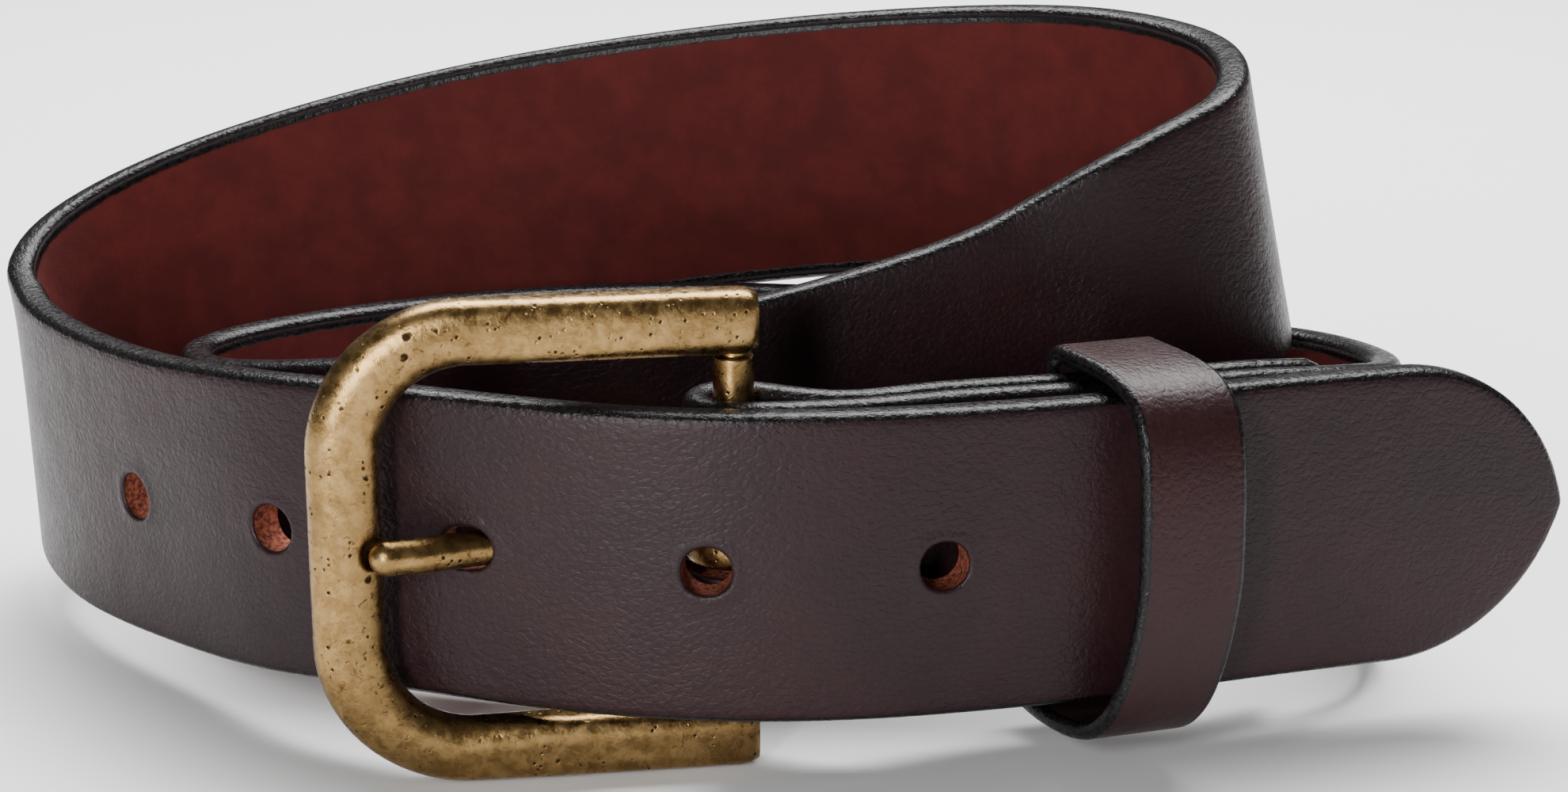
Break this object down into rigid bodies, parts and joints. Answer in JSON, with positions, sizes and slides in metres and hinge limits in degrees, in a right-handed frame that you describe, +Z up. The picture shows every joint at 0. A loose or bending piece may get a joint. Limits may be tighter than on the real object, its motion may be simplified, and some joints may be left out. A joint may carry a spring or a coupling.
{
  "type": "leather belt",
  "caption": "Full-grain leather belt with an antiqued brass prong buckle and a loose keeper, buckled and coiled on its edge.",
  "frame": {"origin": "centre of the coiled belt's footprint, on the surface it stands on", "axes": "+Z up across the strap's width, +X from the buckle's front bar towards the strap's tip, +Y from the buckle towards the back of the coil"},
  "size_m": [0.1888, 0.1028, 0.072],
  "materials": {
    "strap_leather": "dark brown full-grain leather, waxed satin, burnished black edges, red-brown flesh side",
    "keeper_leather": "dark red-brown leather, waxed satin",
    "antique_brass": "antiqued brass, soft polish on the high spots, dark pits and patina",
    "staple_steel": "bright wire"
  },
  "bodies": {
    "strap": {"strap": "strap_leather", "screw_post_1": "antique_brass", "screw_cap_1": "antique_brass", "screw_post_2": "antique_brass", "screw_cap_2": "antique_brass"},
    "frame": {"buckle_frame": "antique_brass", "heel_bar": "antique_brass"},
    "prong": {"prong": "antique_brass"},
    "keeper": {"keeper_loop": "keeper_leather", "keeper_staple": "staple_steel"}
  },
  "joints": [
    {"name": "buckle_swing", "type": "hinge", "parent": "strap", "child": "frame", "pos_m": [-0.00156, -0.04025, 0.0276], "axis": [0, 0, 1], "range_deg": [0, 3]},
    {"name": "prong_swing", "type": "hinge", "parent": "frame", "child": "prong", "pos_m": [-0.00156, -0.04025, 0.0276], "axis": [0, 0, 1], "range_deg": [0, 2]},
    {"name": "keeper_slide", "type": "slide", "parent": "strap", "child": "keeper", "axis": [0.9511, 0.309, 0], "range_m": [-0.002, 0.006]}
  ]
}
